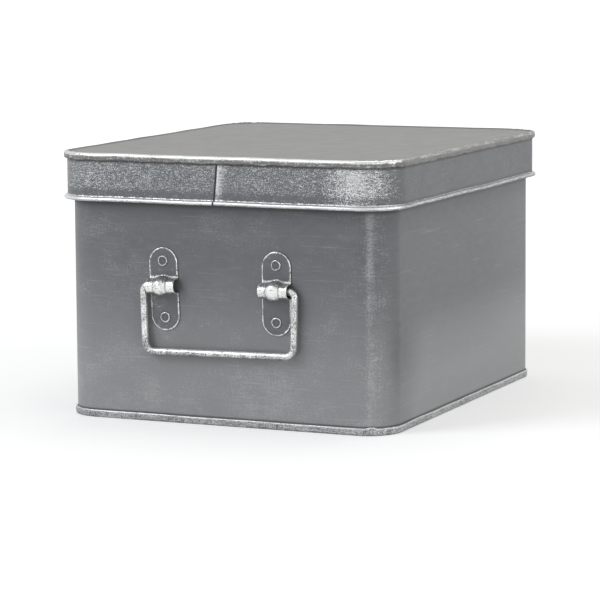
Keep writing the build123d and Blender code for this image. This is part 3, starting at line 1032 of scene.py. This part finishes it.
def makeRivet(name, place, level, node):
    # turned: (radius(t) cos a, radius(t) sin a, height(t)), from the tail's middle to the head's
    head, tail = rivet["headDiameter"] / 2, rivet["tailDiameter"] / 2
    tailGap, headGap = rivet["fitGaps"]
    wallBack = -stock["sheet"]
    tailFace = wallBack - rivet["tailHeight"]
    headFoot = strap["sheet"]
    top = headFoot + rivet["headHeight"]
    slopeRadius, footRadius = (head - rivet["bevel"] - ring for ring in rivet["dishRing"])
    bevelTurn = np.radians(np.linspace(0, 90, rivet["bevelSteps"]))
    bevelRadii = head - rivet["bevel"] * (1 - np.cos(bevelTurn))
    bevelFoot = headFoot + rivet["headEdge"]
    bevelHeights = bevelFoot + (top - bevelFoot) * np.sin(bevelTurn)
    profile = [
        (0, tailFace),
        (tail - rivet["tailBevel"], tailFace),
        (tail, tailFace + rivet["tailBevel"]),
        (tail, wallBack + tailGap),
        (rivet["shankRadius"], wallBack + tailGap),
        (rivet["shankRadius"], headFoot + headGap),
        (head, headFoot + headGap),
        *zip(bevelRadii, bevelHeights),
        (slopeRadius, top - rivet["dish"] * rivet["dishSlope"]),
        (footRadius, top - rivet["dish"]),
        (0, top - rivet["dish"]),
    ]
    radius, out = np.array(profile).T[..., None]
    around = np.linspace(0, 2 * np.pi, rivet["sides"], endpoint=False)[None]
    onHead = out > headFoot
    size = radius * (1 + rivet["wobble"] * np.sin(3 * around + place["copy"] + level) * onHead)
    middle = level * rivet["spacing"] / 2 - strap["drop"]
    points = placeOnBracket(place, size * np.cos(around), middle + size * np.sin(around), out + 0 * around)
    ringAmount, ringShare, ringWidth = rivet["ringSilver"]
    ring = stripe(ringAmount, head - rivet["bevel"] * ringShare, ringWidth, radius) * onHead
    # painted shade round the foot of the dish
    paintedShade = stripe(rivet["dishShade"], footRadius, rivet["dishShadeWidth"], radius)
    turned = {"points": points, "silver": rivet["silver"] + ring, "paintedShade": paintedShade}
    buildPiece(name, [turned], "body", rivetPaint, node)


# Where each strap sits: the end of the box, its middle, how far its loop hangs low, degrees it leans
bracketPlaces = {
    "front_left": {"side": -1, "across": -44.3, "sunk": 0.6, "lean": 2.2, "copy": 0},
    "front_right": {"side": -1, "across": 42.5, "sunk": 0.2, "lean": 0.2, "copy": 1},
    "rear_left": {"side": 1, "across": 43.4, "sunk": 0.3, "lean": -0.9, "copy": 2},
    "rear_right": {"side": 1, "across": -43.6, "sunk": -0.2, "lean": 0.7, "copy": 3},
}
makeHandle("frontHandle", -1, "front_handle", "front_handle")
makeHandle("rearHandle", 1, "rear_handle", "rear_handle")
for placeName, place in bracketPlaces.items():
    makeBracket(placeName + "_strap", place, placeName + "_bracket")
    for levelName, level in (("lower", -1), ("upper", 1)):
        makeRivet(placeName + "_" + levelName + "_head", place, level, placeName + "_" + levelName + "_rivet")

# Floor, light and camera
studio = {
    "floorRadius": 40.0,  # metres
    "floorSides": 96,
    "floorRings": 8,
    "floorWhite": 0.84,
    "floorGlowNear": 0.34,  # added where the floor is seen, so that it is white round the shadow
    "floorGlowFar": 0.7,
    "glowReach": (0.3, 2.0),  # metres from the middle, where it is near and far
    "worldWhite": 0.42,
    # where each lamp is, its size, its power and its colour
    "lamps": {
        "key": ((-1.5, -1.7, 1.7), (1.2, 1.2), 25.0, (0.93, 0.97, 1.0)),
        "side": ((2.2, 0.1, 0.9), (1.6, 1.2), 9.0, (1.0, 0.985, 0.96)),
        "strip": ((1.75, -1.36, 0.6), (0.22, 1.1), 3.0, (0.95, 0.98, 1.0)),
        "top": ((0.1, 0.7, 2.2), (1.8, 1.8), 12.0, (1.0, 0.985, 0.96)),
    },
    "litPoint": (0, 0, 0.1),
}


def seenRays(tree):
    # 1 for rays from the camera and for reflected and refracted ones, 0 for those that light the object
    rays = addNode(tree, "ShaderNodeLightPath").outputs
    reflected = mathNode(tree, "MAXIMUM", rays["Is Camera Ray"], rays["Is Glossy Ray"])
    return mathNode(tree, "MAXIMUM", reflected, rays["Is Transmission Ray"])


def floorMaterial():
    # white that takes the shadow, with a glow that only seen rays meet, stronger far from the object
    material = bpy.data.materials.new("floor_white")
    tree = emptyTree(material)
    white = addNode(tree, "ShaderNodeBsdfDiffuse", {"Color": (studio["floorWhite"],) * 3 + (1,)})
    place = addNode(tree, "ShaderNodeTexCoord").outputs["Object"]
    away = addNode(tree, "ShaderNodeVectorMath", {0: place}, operation="LENGTH").outputs["Value"]
    glowing = addNode(tree, "ShaderNodeMapRange", {
        "Value": away,
        "From Min": studio["glowReach"][0],
        "From Max": studio["glowReach"][1],
        "To Min": studio["floorGlowNear"],
        "To Max": studio["floorGlowFar"],
    }, interpolation_type="SMOOTHSTEP").outputs[0]
    strength = mathNode(tree, "MULTIPLY", seenRays(tree), glowing)
    glow = addNode(tree, "ShaderNodeEmission", {"Color": (1, 1, 1, 1), "Strength": strength})
    both = addNode(tree, "ShaderNodeAddShader", {0: white.outputs[0], 1: glow.outputs[0]})
    addNode(tree, "ShaderNodeOutputMaterial", {"Surface": both.outputs[0]})
    return material


def makeFloor():
    # flat disc: (r cos a, r sin a, 0)
    sides, rings = studio["floorSides"], studio["floorRings"]
    around = np.linspace(0, 2 * np.pi, sides, endpoint=False)
    radius = studio["floorRadius"] * np.linspace(0, 1, rings + 1)[1:, None]
    points = np.stack([radius * np.cos(around), radius * np.sin(around), 0 * radius * around], axis=-1)
    faces = [tuple(range(sides))] + gridFaces(rings, sides, False, True).tolist()
    mesh = bpy.data.meshes.new("floor")
    mesh.from_pydata(points.reshape(-1, 3).tolist(), [], faces)
    mesh.materials.append(floorMaterial())
    floor = addObject("floor", mesh)


def makeLamp(name, place, size, power, colour):
    lamp = bpy.data.lights.new(name, "AREA")
    lamp.shape = "RECTANGLE"
    lamp.size, lamp.size_y = size
    lamp.energy = power
    lamp.color = colour
    holder = addObject(name, lamp)
    holder.location = place
    aim = Vector(studio["litPoint"]) - Vector(place)
    holder.rotation_euler = aim.to_track_quat("-Z", "Y").to_euler()


def makeWorld():
    # white where it is seen, dimmer where it lights the object
    world = bpy.data.worlds.new("studio")
    bpy.context.scene.world = world
    tree = emptyTree(world)
    dim = addNode(tree, "ShaderNodeBackground", {"Color": (1, 1, 1, 1), "Strength": studio["worldWhite"]})
    white = addNode(tree, "ShaderNodeBackground", {"Color": (1, 1, 1, 1), "Strength": 1.0})
    mix = addNode(tree, "ShaderNodeMixShader", {0: seenRays(tree), 1: dim.outputs[0], 2: white.outputs[0]})
    addNode(tree, "ShaderNodeOutputWorld", {"Surface": mix.outputs[0]})


camera = {
    "yaw": 23.96,  # degrees round to the right of the front
    "pitch": 7.07,  # degrees down
    "roll": -0.4,
    "distance": 2.118,  # metres from the point looked at
    "lookAt": (0, 0, 0.095),
    "lens": 170.4,
    "sensorWidth": 36.0,
    "shift": (-0.0145, -0.055),
    "farthest": 200.0,  # metres
}


def makeCamera():
    # looks ahead along yaw and pitch, its right and up turned round that line by the roll
    yaw, pitch, roll = (math.radians(camera[key]) for key in ("yaw", "pitch", "roll"))
    ahead = Vector((-math.sin(yaw) * math.cos(pitch), math.cos(yaw) * math.cos(pitch), -math.sin(pitch)))
    right = Vector((math.cos(yaw), math.sin(yaw), 0))
    up = right.cross(ahead)
    turnedRight = math.cos(roll) * right + math.sin(roll) * up
    turnedUp = math.cos(roll) * up - math.sin(roll) * right
    data = bpy.data.cameras.new("camera")
    data.lens = camera["lens"]
    data.sensor_width = camera["sensorWidth"]
    data.shift_x, data.shift_y = camera["shift"]
    data.clip_end = camera["farthest"]
    holder = addObject("camera", data)
    axes = Matrix((turnedRight, turnedUp, -ahead)).transposed()
    place = Vector(camera["lookAt"]) - ahead * camera["distance"]
    holder.matrix_world = Matrix.Translation(place) @ axes.to_4x4()
    bpy.context.scene.camera = holder


makeFloor()
makeWorld()
for lampName, lampValues in studio["lamps"].items():
    makeLamp(lampName, *lampValues)
makeCamera()
bpy.context.scene.view_settings.view_transform = "Standard"
print("studio made")
